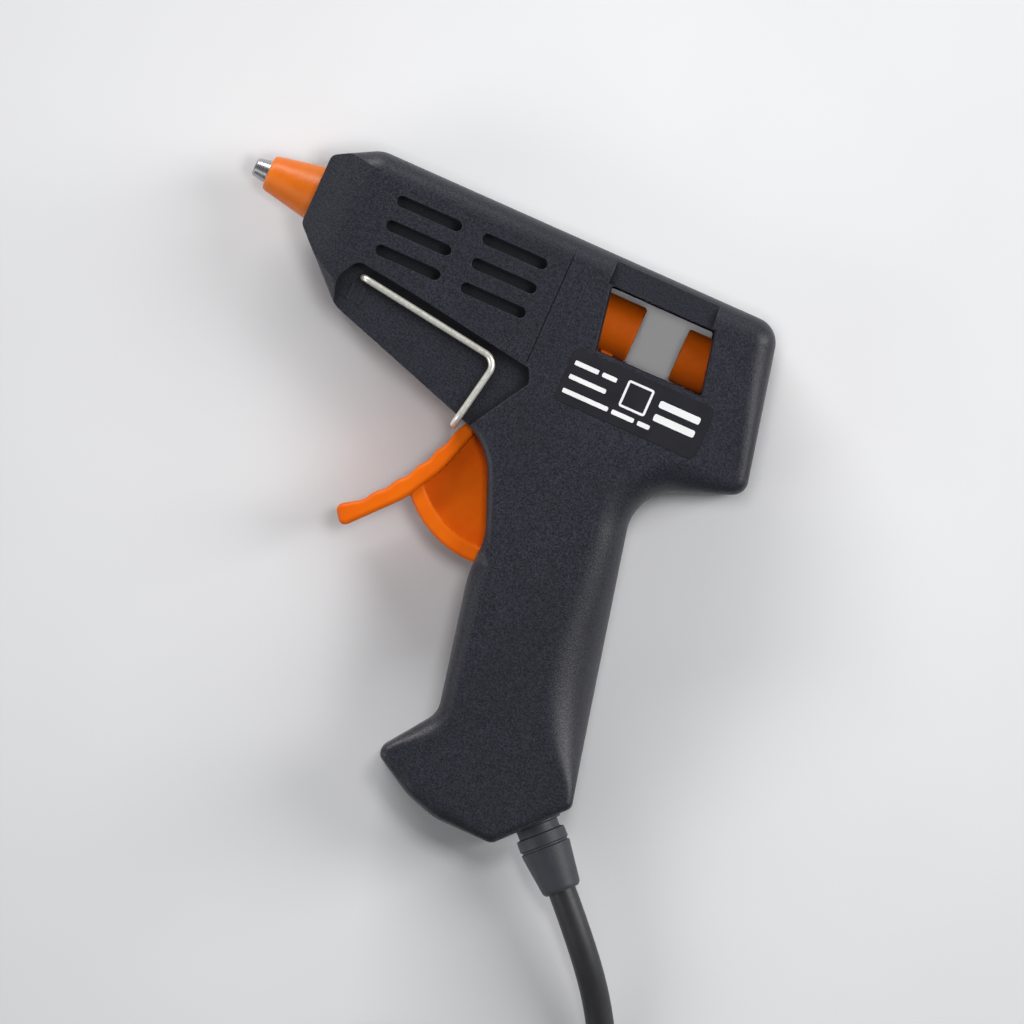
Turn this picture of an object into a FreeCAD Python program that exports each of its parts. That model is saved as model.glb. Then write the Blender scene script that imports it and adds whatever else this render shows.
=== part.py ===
import FreeCAD, Part
import math
import os

from FreeCAD import Vector as V

# Mini hot-melt glue gun for 7 mm sticks, in millimetres, lying on its right side.
# It is drawn with X running back along the nozzle axis from the front face, Y towards the top
# of the gun and Z through its thickness. Every part is then shifted so that the middle of the
# gun, seen from above, is the origin.

ORIGIN = V(42.6, -43.28, 0)

# Body
THICK = 26.0  # over both shells
MID = THICK / 2  # parting plane
WALL = 2.4
DEEP_INSET = 5.4  # where the cavity reaches its full depth, clear of the rounded edges
SEAM = 0.15  # half the shadow line between the shells
SEAM_DEPTH = 0.7
# Outline corners in order: X, Y, corner radius, rounding of the side edge there.
# A corner of radius 0 lies on a straight stretch and only changes the rounding.
OUTLINE = [
    (0.2, -6.2, 2.0, 1.4),
    (12.2, -17.9, 6.0, 2.2),
    (49.6, -29.9, 14.0, 1.5),
    (56.35, -46.6, 12.0, 1.6),
    (56.1, -54.0, 20.0, 4.0),
    (61.7, -80.8, 5.0, 3.5),
    (53.7, -91.9, 2.0, 1.6),
    (62.3, -97.0, 10.0, 2.5),
    (68.8, -99.15, 12.0, 3.0),
    (81.0, -99.15, 2.2, 1.8),
    (92.2, -86.8, 1.6, 1.3),
    (90.0, -77.4, 0.0, 5.5),
    (78.7, -27.0, 9.0, 6.5),
    (98.2, -19.2, 3.0, 2.4),
    (91.1, 12.6, 5.0, 4.2),
    (8.7, 12.6, 6.0, 4.2),
    (0.2, 7.9, 1.6, 1.3),
]
NOSE_TAPER_X = 11.0  # the side faces curve in ahead of here
NOSE_TAPER = 4.2

# Feed axis: nozzle, chamber, carriage and guide
AXIS_Y = 0.2
STICK_BORE = 4.0

# Side details
VENT_X = (15.0, 32.7)
VENT_Y = (5.2, 0.15, -4.9)
VENT_LENGTH = 13.4
VENT_HEIGHT = 2.2
VENT_DEPTH = 1.7
WINDOW = [(58.95, 6.9), (80.1, 6.9), (82.75, -5.5), (61.3, -5.5)]
WINDOW_CORNER_R = 0.4
WINDOW_RIM = [(58.5, 7.15), (80.4, 7.15), (83.1, -5.8), (60.9, -5.8)]
RIM_DEPTH = 0.7
BAND = [(58.0, 6.9), (79.7, 6.9), (78.9, 14.0), (58.0, 14.0)]
BAND_DEPTH = 1.4
GROOVES = ((50.0, 0.2, 0.3), (54.5, 0.15, 0.18))  # X, half width, depth
GROOVE_Y = (-13.0, 9.8)

# Recess for the folded stand, on both sides: X, Y, corner radius
RECESS = [
    (13.0, -8.38, 2.2),
    (26.0, -10.0, 0.0),
    (50.9, -13.9, 0.7),
    (52.1, -16.6, 1.2),
    (43.85, -30.4, 0.0),
    (43.85, -42.0, 0.0),
    (20.0, -42.0, 0.0),
    (10.35, -13.0, 3.6),
]
RECESS_DEPTH = 2.3
DETENT_X = (13.9, 16.2)
DETENT_Y = (-15.9, -12.6)
DETENT_HEIGHT = 0.25

# Wire stand
WIRE_R = 0.65
STAND_PIVOT = V(15.2, -10.9, 0)
STAND_HOLE_R = 0.715
STAND_BEND = V(44.8, -15.0, 0)
STAND_FOOT = V(42.1, -29.4, 0)
STAND_SIDE_Z = 1.2
STAND_TIP_Z = 4.4
STAND_CORNER_R = 2.6

# Trigger
TRIGGER_PIVOT = V(55.4, -31.2, 0)
TRIGGER_HALF = 7.0
TRIGGER_SLOT_HALF = 7.5
HUB_R = 4.0
PIN_R = 1.5
PIN_FIT = 0.06
FLANGE_R = 20.7
FLANGE_THICK = 3.3
FLANGE_HALF = 6.0
FLANGE_ROUND = 0.8
FLANGE_ANGLES = (217.0, 287.0)
WEB_HALF = 3.0
WEB_TOP = -28.0
PULL = 22.0
ARM_LENGTH = 23.8
ARM_REST = 90.0 - PULL / 2
ARM_HALF = 2.0
ARM_HEAD_R = 1.75
ARM_NECK = 1.3
# Hollows between the finger grips on the lever's front, from the root down
GRIP_HOLLOWS = [(42.3, -33.4), (40.65, -37.4), (38.2, -41.8), (35.4, -45.6), (32.3, -49.35)]
GRIP_HEIGHT = 0.45  # of each wave, before its corners are rounded
GRIP_R = 4.0
# The rest of the lever's outline: X, Y, corner radius
LEVER_END = [(27.72, -52.4, 1.4), (30.35, -56.0, 1.2)]
LEVER_BACK = [(39.4, -45.95, 14.0), (43.6, -38.3, 14.0), (45.95, -31.3, 0.0)]
LEVER_ROOT = [(46.9, -27.4, 0.0), (44.6, -27.4, 0.0), (42.85, -30.9, 3.0)]
LEVER_ROUND = 0.9

# Feed carriage
CARRIAGE_X = (48.0, 66.9)
CARRIAGE_R = 5.55
RUN_GAP = 0.35
LUG_GAP = 0.3
LUG_THICK = 2.3
LUG_HALF = 2.2
LUG_BOTTOM = -9.4
CARRIAGE_SADDLES = ((48.4, 50.0), (56.4, 58.0))

# Rear guide
GUIDE_X = (75.8, 99.0)
GUIDE_R = 5.3
GUIDE_COLLAR = (84.0, 85.5, 7.0)
GUIDE_SADDLES = ((82.6, 83.9), (85.6, 86.9))
FUNNEL_R = 4.9

# Nozzle and melt chamber
TIP_END = -12.5
COVER_X = (-9.7, 1.4)
COVER_R = (3.5, 5.35)
CHAMBER_X = (1.6, 11.0, 29.5, 35.0)
CHAMBER_R = (4.9, 6.2, 4.5)
THREAD_R = 2.9
THREAD_END = 7.0
CHAMBER_BORE = 3.7
CHAMBER_SADDLES = ((2.6, 4.4, 4.9), (28.3, 29.5, 6.2))
LEAD_NOTCH = ((28.0, -12.0, 6.6), (30.0, -7.4, 19.4))  # in the rear saddle
PAD = V(12.0, -8.0, 8.0)
PAD_LENGTH = 16.0
PAD_WIDTH = 10.0

# Heater
PTC_THICK = 1.8
FILM = 0.25
CLIP_X = (16.5, 22.5)
CLIP_THICK = 0.5

# Fasteners: centres of the screws, driven from the right side
SCREWS = [
    (6.8, -8.6),
    (30.0, -19.0),
    (40.5, -9.2),
    (88.5, -13.0),
    (70.5, -52.5),
    (67.0, -71.0),
    (65.0, -91.6),
]
HEAD_R = 2.4
HEAD_TOP = 2.9
HEAD_SEAT = 4.6
SHANK_R = 1.35
SHANK_END = 20.0
BOSS_R = 2.8

# Cord and its strain relief
CORD_R = 2.7
BOOT_START = V(87.2, -92.3, MID)
BOOT_DIRECTION = V(0.7121, -0.7021, 0)
BOOT_LENGTH = 13.9
CLAMP_AT = -14.0  # along the boot's axis, inside the handle
CORD_ROUTE = [
    V(90.05, -95.11, 13.0),
    V(103.15, -108.03, 13.0),
    V(114.4, -122.0, 6.6),
    V(122.0, -138.6, 3.0),
    V(126.0, -156.6, 2.72),
    V(126.9, -174.0, 2.9),
]
COIL_CENTRE = V(89.0, -181.5, 0)
COIL_R = (18.6, 40.5)
COIL_Z = (0.5, 11.3)
TAIL_ROUTE = [
    COIL_CENTRE + V(27.0, 13.5, 8.7),
    COIL_CENTRE + V(28.4, -2.6, 10.4),
    COIL_CENTRE + V(21.6, -17.0, 14.6),
    COIL_CENTRE + V(8.1, -25.2, 17.7),
    COIL_CENTRE + V(-7.6, -26.0, 18.15),
]
TIE_ANGLE = 118.0
TIE_WIDTH = 9.0
TIE_THICK = 0.5

# Two-pin plug, lying on the coil with its pins towards -X
PLUG_BACK = COIL_CENTRE + V(1.0, -26.0, 18.15)
PLUG_GRIP = 12.0
PLUG_BODY = 34.0
PLUG_WIDTH = (17.0, 35.3)
PLUG_HEIGHT = 13.6
PIN_LENGTH = 19.0
PLUG_PIN_R = 2.0
PLUG_PIN_SPACING = 18.6

# Heater leads, from the element to the cord's end
LEAD_R = 0.7
LEAD_APART = 1.9
LEAD_ROUTE = [
    (28.0, -9.15, 11.0),
    (30.8, -9.15, 11.0),
    (36.0, -13.4, 7.4),
    (50.0, -15.4, 5.8),
    (63.0, -17.4, 5.6),
    (72.6, -26.0, 5.8),
    (75.6, -42.0, 6.2),
    (76.6, -57.0, 7.4),
    (74.6, -69.0, 10.6),
]

# Label on the left side
LABEL = (57.4, -17.2, 86.4, -6.6)
LABEL_THICK = 0.12


def box(low, high):
    """A box between two corners."""
    size = V(*high) - V(*low)
    return Part.makeBox(size.x, size.y, size.z, V(*low))


def rod(start, end, radius):
    """A cylinder from one point to another."""
    return Part.makeCylinder(radius, (end - start).Length, start, end - start)


def prism(points, z0, z1):
    """A straight-edged polygon raised from z0 to z1."""
    corners = [V(x, y, z0) for x, y in points]
    return Part.Face(Part.makePolygon(corners + corners[:1])).extrude(V(0, 0, z1 - z0))


def turned(profile):
    """A solid turned about the feed axis from (X, radius) points."""
    corners = [V(x, AXIS_Y + r, MID) for x, r in profile]
    face = Part.Face(Part.makePolygon(corners + corners[:1]))
    return face.revolve(V(0, AXIS_Y, MID), V(1, 0, 0), 360)


def mirrored(shape):
    """The same shape on the other side of the parting plane."""
    return shape.mirror(V(0, 0, MID), V(0, 0, 1))


def both_sides(shape):
    return shape.fuse(mirrored(shape))


def arc_points(centre, radius, start, end):
    """Start, middle and end of an arc, with its angles in degrees."""
    angles = [math.radians(a) for a in (start, (start + end) / 2, end)]
    return [centre + V(radius * math.cos(a), radius * math.sin(a), 0) for a in angles]


def sector(centre, inner, outer, start, end, z0, z1):
    """A ring sector, or a pie slice when the inner radius is 0."""
    far = arc_points(centre, outer, start, end)
    edges = [Part.Arc(*far).toShape()]
    if inner:
        near = arc_points(centre, inner, start, end)
        edges += [
            Part.LineSegment(far[2], near[2]).toShape(),
            Part.Arc(near[2], near[1], near[0]).toShape(),
            Part.LineSegment(near[0], far[0]).toShape(),
        ]
    else:
        edges += [
            Part.LineSegment(far[2], centre).toShape(),
            Part.LineSegment(centre, far[0]).toShape(),
        ]
    face = Part.Face(Part.Wire(edges))
    face.translate(V(0, 0, z0))
    return face.extrude(V(0, 0, z1 - z0))


def corner_arc(before, corner, after, radius):
    """Start, middle and end of the arc that rounds one corner."""
    back = (before - corner).normalize()
    ahead = (after - corner).normalize()
    half = back.getAngle(ahead) / 2
    reach = radius / math.tan(half)
    middle = corner + (back + ahead).normalize() * (radius / math.sin(half) - radius)
    return corner + back * reach, middle, corner + ahead * reach


def corner_arcs(corners):
    """The three points of each corner's arc, all equal where there is no arc."""
    points = [V(x, y, 0) for x, y, _ in corners]
    arcs = []
    for i, (_, _, radius) in enumerate(corners):
        after = points[(i + 1) % len(points)]
        if radius:
            arcs.append(corner_arc(points[i - 1], points[i], after, radius))
        else:
            arcs.append((points[i],) * 3)
    return arcs


def rounded_wire(corners):
    """A closed outline of straight runs with a tangent arc at each corner."""
    arcs = corner_arcs(corners)
    edges = []
    for i, arc in enumerate(arcs):
        if arc[0] != arc[2]:
            edges.append(Part.Arc(*arc).toShape())
        edges.append(Part.LineSegment(arc[2], arcs[(i + 1) % len(arcs)][0]).toShape())
    return Part.Wire(edges)


def rounded_prism(corners, z0, z1):
    """An outline of (X, Y, radius) corners raised from z0 to z1."""
    face = Part.Face(rounded_wire(corners))
    face.translate(V(0, 0, z0))
    return face.extrude(V(0, 0, z1 - z0))


def inset_prism(inset, z0, z1):
    """The outline moved inwards and raised from z0 to z1."""
    wire = rounded_wire([corner[:3] for corner in OUTLINE])
    if inset:
        wire = wire.makeOffset2D(-inset)
    face = Part.Face(wire)
    face.translate(V(0, 0, z0))
    return face.extrude(V(0, 0, z1 - z0))


def rounded_body():
    """The full outer shape, with side edges rounded as OUTLINE says."""
    blank = inset_prism(0, 0, THICK)
    arcs = corner_arcs([corner[:3] for corner in OUTLINE])
    marks = [(end, corner[3]) for arc, corner in zip(arcs, OUTLINE) for end in arc[::2]]

    def rounding(vertex):
        here = V(vertex.X, vertex.Y, 0)
        return min(marks, key=lambda mark: (mark[0] - here).Length)[1]

    document = FreeCAD.newDocument()
    base = document.addObject("Part::Feature", "Blank")
    base.Shape = blank
    fillet = document.addObject("Part::Fillet", "Rounded")
    fillet.Base = base
    fillet.Edges = [
        (i + 1, rounding(edge.Vertexes[0]), rounding(edge.Vertexes[1]))
        for i, edge in enumerate(blank.Edges)
        if abs(edge.Vertexes[0].Z - edge.Vertexes[1].Z) < 0.001
    ]
    document.recompute()
    return fillet.Shape.copy()


def nose_taper():
    """The stock removed where the side faces curve in towards the front."""
    front = -0.5
    run = NOSE_TAPER_X - front
    radius = (run**2 + NOSE_TAPER**2) / (2 * NOSE_TAPER)
    half_run = run / 2
    half_drop = radius - math.sqrt(radius**2 - half_run**2)
    start = V(NOSE_TAPER_X, -25, THICK)
    middle = V(NOSE_TAPER_X - half_run, -25, THICK - half_drop)
    end = V(front, -25, THICK - NOSE_TAPER)
    above = V(front, -25, THICK + 1)
    beside = V(NOSE_TAPER_X, -25, THICK + 1)
    edges = [
        Part.Arc(start, middle, end).toShape(),
        Part.LineSegment(end, above).toShape(),
        Part.LineSegment(above, beside).toShape(),
        Part.LineSegment(beside, start).toShape(),
    ]
    return both_sides(Part.Face(Part.Wire(edges)).extrude(V(0, 40, 0)))


def slot(x, y, length, height, z0, z1):
    """A slot with round ends, its left end at x and its middle at y."""
    r = height / 2
    left = Part.makeCylinder(r, z1 - z0, V(x + r, y, z0))
    right = Part.makeCylinder(r, z1 - z0, V(x + length - r, y, z0))
    return left.fuse([right, box((x + r, y - r, z0), (x + length - r, y + r, z1))])


def vents():
    """Blind slots in both sides."""
    slots = [
        slot(x, y, VENT_LENGTH, VENT_HEIGHT, THICK - VENT_DEPTH, THICK + 1)
        for x in VENT_X
        for y in VENT_Y
    ]
    return both_sides(slots[0].fuse(slots[1:]))


def recess():
    """Both recesses, without the two ribs that hold the stand when it points down."""
    cut = rounded_prism(RECESS, THICK - RECESS_DEPTH, THICK + 1)
    for x in DETENT_X:
        low = (x - 0.3, DETENT_Y[0], THICK - RECESS_DEPTH)
        high = (x + 0.3, DETENT_Y[1], THICK - RECESS_DEPTH + DETENT_HEIGHT)
        cut = cut.cut(box(low, high))
    return both_sides(cut)


def window():
    """The window through both shells, with a bevelled rim."""
    through = prism(WINDOW, -1, THICK + 1)
    upright = [e for e in through.Edges if abs(e.Vertexes[0].Z - e.Vertexes[-1].Z) > 1]
    through = through.makeFillet(WINDOW_CORNER_R, upright)
    top = [V(x, y, THICK + 0.01) for x, y in WINDOW_RIM]
    bottom = [V(x, y, THICK - RIM_DEPTH) for x, y in WINDOW]
    rim = Part.makeLoft(
        [Part.makePolygon(top + top[:1]), Part.makePolygon(bottom + bottom[:1])], True, True
    )
    return through.fuse(both_sides(rim))


def band():
    return both_sides(prism(BAND, THICK - BAND_DEPTH, THICK + 1))


def grooves():
    cuts = []
    for x, half, depth in GROOVES:
        low = V(x - half, GROOVE_Y[0], THICK + 0.01)
        high = V(x + half, GROOVE_Y[0], THICK + 0.01)
        floor = V(x, GROOVE_Y[0], THICK - depth)
        face = Part.Face(Part.makePolygon([low, high, floor, low]))
        cuts.append(face.extrude(V(0, GROOVE_Y[1] - GROOVE_Y[0], 0)))
    return both_sides(cuts[0].fuse(cuts[1:]))


def cavity():
    """The hollow inside the two shells."""
    wide = inset_prism(WALL, 5.0, THICK - 5.0)
    deep = inset_prism(DEEP_INSET, WALL, THICK - WALL)
    grown = [(8.0, -6.0), (53.2, -11.0), (53.2, -45.0), (8.0, -45.0)]
    return wide.fuse(deep.cut(prism(grown, -1, THICK + 1)))


def boss(x, y):
    """A screw boss, wider around the head."""
    wide = Part.makeCylinder(BOSS_R + 1.2, 6.2 - 1.2, V(x, y, 1.2))
    return wide.fuse(Part.makeCylinder(BOSS_R, THICK - 2.4, V(x, y, 1.2)))


def screw_hole(x, y):
    """Counterbore and clearance in the right shell, pilot in the left one."""
    bore = Part.makeCylinder(HEAD_R + 0.25, HEAD_SEAT + 1, V(x, y, -1))
    clear = Part.makeCylinder(SHANK_R + 0.2, MID, V(x, y, 0))
    pilot = Part.makeCylinder(SHANK_R, SHANK_END + 0.5 - MID, V(x, y, MID))
    return bore.fuse([clear, pilot])


def saddle(x0, x1, radius):
    """A rib across the cavity that holds a round part on the feed axis."""
    plate = box((x0, -11.0, 2.0), (x1, 11.0, THICK - 2.0))
    return plate.cut(rod(V(x0 - 1, AXIS_Y, MID), V(x1 + 1, AXIS_Y, MID), radius))


def body():
    """Both shells as one solid, before they are parted."""
    outer = rounded_body()
    shape = outer.cut(cavity())
    ribs = [saddle(x0, x1, radius) for x0, x1, radius in CHAMBER_SADDLES]
    ribs += [saddle(x0, x1, CARRIAGE_R + RUN_GAP) for x0, x1 in CARRIAGE_SADDLES]
    ribs += [saddle(x0, x1, GUIDE_R) for x0, x1 in GUIDE_SADDLES]
    ribs += [boss(x, y) for x, y in SCREWS]
    pin = TRIGGER_PIVOT
    ribs.append(Part.makeCylinder(HUB_R, 4.5, pin + V(0, 0, 1.2)))
    ribs.append(mirrored(ribs[-1]))
    inside = outer.cut(prism(WINDOW, -1, THICK + 1))
    shape = shape.fuse([rib.common(inside) for rib in ribs])

    front = V(-1, AXIS_Y, MID)
    rear = V(99, AXIS_Y, MID)
    lug_path = box((46, -12.0, MID - LUG_HALF - 0.4), (60, -4.0, MID + LUG_HALF + 0.4))
    low = MID - TRIGGER_SLOT_HALF
    high = MID + TRIGGER_SLOT_HALF
    stand_hole = Part.makeCylinder(STAND_HOLE_R, STAND_TIP_Z + 1.6, STAND_PIVOT - V(0, 0, 1))
    root_pocket = box((43.6, -34.0, low), (TRIGGER_PIVOT.x, WEB_TOP + 1.2, high))
    boot_hole = rod(BOOT_START - BOOT_DIRECTION * 4, BOOT_START + BOOT_DIRECTION * 3, 4.9)
    cuts = [
        nose_taper(),
        vents(),
        recess(),
        window(),
        band(),
        grooves(),
        rod(front, front + V(4, 0, 0), COVER_R[1]),
        rod(rear - V(13, 0, 0), rear, GUIDE_R),
        lug_path,
        box(*LEAD_NOTCH),
        sector(TRIGGER_PIVOT, 0, FLANGE_R + 0.75, 165, 318, low, high),
        Part.makeCylinder(HUB_R + 0.4, high - low, TRIGGER_PIVOT + V(0, 0, low)),
        root_pocket,
        Part.makeCylinder(PIN_R, THICK - 4.4, TRIGGER_PIVOT + V(0, 0, 2.2)),
        both_sides(stand_hole),
        boot_hole,
    ]
    cuts += [screw_hole(x, y) for x, y in SCREWS]
    return shape.cut(cuts)


def shells():
    """Left and right shells, with a shadow line where they meet."""
    whole = body()
    ring = inset_prism(0, MID - SEAM, MID + SEAM).cut(inset_prism(SEAM_DEPTH, 0, THICK))
    whole = whole.cut(ring)
    left = whole.common(box((-20, -120, MID), (120, 20, THICK + 1)))
    right = whole.common(box((-20, -120, -1), (120, 20, MID)))
    return left, right


def nozzle_tip():
    """Conical aluminium tip with a chamfered end, screwed into the chamber."""
    return turned(
        [
            (TIP_END, 0.6),
            (TIP_END, 1.5),
            (TIP_END + 0.35, 1.8),
            (COVER_X[0], 2.25),
            (CHAMBER_X[0], THREAD_R),
            (THREAD_END, THREAD_R),
            (THREAD_END, 1.6),
            (TIP_END + 3.0, 0.6),
        ]
    )


def nozzle_cover():
    """Silicone cone over the tip, its front edge rounded by a small chamfer pair."""
    front, back = COVER_X
    return turned(
        [
            (front, 2.25),
            (front, COVER_R[0] - 0.75),
            (front + 0.22, COVER_R[0] - 0.22),
            (front + 0.8, COVER_R[0] + 0.05),
            (back - 1.4, COVER_R[1]),
            (back, COVER_R[1]),
            (back, THREAD_R),
        ]
    )


def melt_chamber():
    """Aluminium melting chamber with a flat pad below for the heater."""
    front, neck, collar, back = CHAMBER_X
    barrel = turned(
        [
            (front, THREAD_R),
            (front, CHAMBER_R[0]),
            (neck, CHAMBER_R[0]),
            (neck, CHAMBER_R[1]),
            (collar, CHAMBER_R[1]),
            (collar, CHAMBER_R[2]),
            (back, CHAMBER_R[2]),
            (back, CHAMBER_BORE),
            (THREAD_END + 1.2, CHAMBER_BORE),
            (THREAD_END, THREAD_R),
        ]
    )
    pad = box(PAD, PAD + V(PAD_LENGTH, 8.0, PAD_WIDTH))
    bore = rod(V(0, AXIS_Y, MID), V(40, AXIS_Y, MID), CHAMBER_R[1] - 1)
    return barrel.fuse(pad.cut(bore)).removeSplitter()


def ptc_heater():
    """The flat heating element under the pad."""
    low = PAD + V(1.2, -FILM - PTC_THICK, 1.2)
    return box(low, low + V(PAD_LENGTH - 1.2, PTC_THICK, PAD_WIDTH - 2.4))


def heater_film():
    """Insulating film wrapped around the element, open at both ends."""
    low = PAD + V(0.4, -2 * FILM - PTC_THICK, 1.2 - FILM)
    high = PAD + V(PAD_LENGTH - 0.4, 0, PAD_WIDTH - 1.2 + FILM)
    wrap = box(low, high)
    inner = box(low + V(-1, FILM, FILM), high + V(1, -FILM, -FILM))
    return wrap.cut(inner)


def heater_clip():
    """Spring-steel clip that presses the element against the chamber."""
    bottom = PAD.y - 2 * FILM - PTC_THICK - CLIP_THICK
    top = AXIS_Y + CHAMBER_R[1] + CLIP_THICK
    half = CHAMBER_R[1] + CLIP_THICK
    outer = box((CLIP_X[0], bottom, MID - half), (CLIP_X[1], top, MID + half))
    edges = [e for e in outer.Edges if e.BoundBox.XLength > 1]
    outer = outer.makeFillet(1.6, edges)
    x0 = CLIP_X[0] - 1
    x1 = CLIP_X[1] + 1
    t = CLIP_THICK
    inner = box((x0, bottom + t, MID - half + t), (x1, top - t, MID + half - t))
    inner = inner.makeFillet(1.1, [e for e in inner.Edges if e.BoundBox.XLength > 1])
    mouth = box((x0, top - 3, MID - 3.5), (x1, top + 1, MID + 3.5))
    return outer.cut(inner).cut(mouth)


def inlet_sleeve():
    """Silicone sleeve that takes the stick into the chamber."""
    front = CHAMBER_X[2]
    return turned(
        [
            (front, CHAMBER_R[2]),
            (front, 5.5),
            (front + 4.5, 5.5),
            (38.0, 5.0),
            (38.0, 3.9),
            (CHAMBER_X[3], 3.6),
            (CHAMBER_X[3], CHAMBER_R[2]),
        ]
    )


def sleeve_clamp():
    """Crimped ring around the sleeve."""
    front = CHAMBER_X[2] + 1.2
    return turned([(front, 5.5), (front, 6.0), (front + 2, 6.0), (front + 2, 5.5)])


def arm_head():
    """Centre of the trigger arm's round head, at rest."""
    angle = math.radians(ARM_REST)
    return TRIGGER_PIVOT + V(math.cos(angle), math.sin(angle), 0) * ARM_LENGTH


def feed_carriage():
    """Sleeve that carries the stick forward, with a forked lug for the trigger arm."""
    front, back = CARRIAGE_X
    r = CARRIAGE_R
    tube = turned(
        [
            (front, STICK_BORE),
            (front, r - 0.5),
            (front + 0.5, r),
            (back - 0.4, r),
            (back, r - 0.4),
            (back, STICK_BORE + 0.5),
            (back - 0.5, STICK_BORE),
        ]
    )
    gap = ARM_HEAD_R + LUG_GAP
    post_top = AXIS_Y - STICK_BORE - 0.4
    lug = []
    for start in (arm_head().x - gap - LUG_THICK, arm_head().x + gap):
        low = (start, LUG_BOTTOM, MID - LUG_HALF)
        lug.append(box(low, (start + LUG_THICK, post_top, MID + LUG_HALF)))
    return tube.fuse(lug).cut(rod(V(40, AXIS_Y, MID), V(70, AXIS_Y, MID), STICK_BORE))


def rear_guide():
    """Fixed inlet guide, cut flush with the slanted rear face."""
    front, back = GUIDE_X
    c0, c1, collar_r = GUIDE_COLLAR
    tube = turned(
        [
            (front, STICK_BORE + 0.4),
            (front, GUIDE_R - 0.3),
            (front + 0.3, GUIDE_R),
            (c0, GUIDE_R),
            (c0, collar_r),
            (c1, collar_r),
            (c1, GUIDE_R),
            (back, GUIDE_R),
            (back, FUNNEL_R + 1.0),
            (92.2, STICK_BORE),
            (front + 0.4, STICK_BORE),
        ]
    )
    return tube.common(inset_prism(0, 0, THICK))


def return_spring():
    """Extension spring between the carriage's rear post and the guide, as a plain tube."""
    start = V(arm_head().x + ARM_HEAD_R + LUG_GAP + LUG_THICK, -7.6, MID)
    end = V(78.4, -7.6, MID)
    return rod(start, end, 1.6).cut(rod(start - V(1, 0, 0), end + V(1, 0, 0), 1.1))


def spring_post():
    """Steel pin across the shells that anchors the spring."""
    return rod(V(79.4, -7.6, 2.4), V(79.4, -7.6, THICK - 2.4), 1.0)


def grip_waves():
    """Corners of the lever's wavy front: a hollow, a crest and so on."""
    corners = []
    for (x0, y0), (x1, y1) in zip(GRIP_HOLLOWS, GRIP_HOLLOWS[1:]):
        outward = V(y1 - y0, x0 - x1, 0).normalize() * GRIP_HEIGHT
        corners.append((x0, y0, GRIP_R))
        corners.append(((x0 + x1) / 2 + outward.x, (y0 + y1) / 2 + outward.y, GRIP_R))
    return corners + [(*GRIP_HOLLOWS[-1], GRIP_R)]


def lever():
    """The finger lever, rounded along its front and rear edges."""
    outline = grip_waves() + LEVER_END + LEVER_BACK + LEVER_ROOT
    shape = rounded_prism(outline, MID - TRIGGER_HALF, MID + TRIGGER_HALF)
    root = LEVER_ROOT[0][1]
    free = [e for e in shape.Edges if e.BoundBox.ZLength < 0.01 and e.CenterOfMass.y < root - 1]
    return shape.makeFillet(LEVER_ROUND, free)


def trigger():
    """Lever, web, curved flange, hub and arm in one moulding."""
    p = TRIGGER_PIVOT
    hub_low = p + V(0, 0, MID - TRIGGER_HALF)
    hub = Part.makeCylinder(HUB_R, 2 * TRIGGER_HALF, hub_low)
    start, end = FLANGE_ANGLES
    inner = FLANGE_R - FLANGE_THICK
    flange = sector(p, inner, FLANGE_R, start, end, MID - FLANGE_HALF, MID + FLANGE_HALF)
    arcs = [e for e in flange.Edges if e.BoundBox.ZLength < 0.01 and e.Length > FLANGE_THICK + 1]
    flange = flange.makeFillet(FLANGE_ROUND, arcs)
    web = sector(p, 0, inner + 0.2, start - 3, end, MID - WEB_HALF, MID + WEB_HALF)
    between = [
        (p.x, p.y),
        (p.x - 0.8, WEB_TOP),
        (45.6, WEB_TOP),
        (44.4, -29.5),
        (44.9, -33.0),
        (43.0, -38.5),
        (40.5, -42.8),
    ]
    panel = prism(between, MID - WEB_HALF, MID + WEB_HALF)
    angle = math.radians(ARM_REST)
    along = V(math.cos(angle), math.sin(angle), 0)
    across = V(-along.y, along.x, 0)
    head = arm_head()
    neck = p + along * (ARM_LENGTH - 5.5)
    arm = prism(
        [
            (q.x, q.y)
            for q in (
                p - across * 3.2,
                neck - across * 2.4,
                neck + along * 1.5 - across * ARM_NECK,
                head - across * ARM_NECK,
                head + across * ARM_NECK,
                neck + along * 1.5 + across * ARM_NECK,
                neck + across * 2.4,
                p + across * 3.2,
            )
        ],
        MID - ARM_HALF,
        MID + ARM_HALF,
    )
    ball = Part.makeCylinder(ARM_HEAD_R, 2 * ARM_HALF, head + V(0, 0, MID - ARM_HALF))
    shape = hub.fuse([lever(), flange, web, panel, arm, ball])
    bore = Part.makeCylinder(PIN_R + PIN_FIT, THICK, p)
    return shape.cut(bore).removeSplitter()


def trigger_pin():
    """Steel pin held in both shells."""
    return Part.makeCylinder(PIN_R, THICK - 4.4, TRIGGER_PIVOT + V(0, 0, 2.2))


def bent_rod(points, radii, radius):
    """A round bar through straight runs and one arc at each inner point."""
    edges = []
    here = points[0]
    for i, bend in enumerate(radii, start=1):
        arc = corner_arc(points[i - 1], points[i], points[i + 1], bend)
        edges += [Part.LineSegment(here, arc[0]).toShape(), Part.Arc(*arc).toShape()]
        here = arc[2]
    edges.append(Part.LineSegment(here, points[-1]).toShape())
    path = Part.Wire(edges)
    section = Part.Wire(Part.makeCircle(radius, points[0], points[1] - points[0]))
    return path.makePipeShell([section], True, False)


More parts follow.
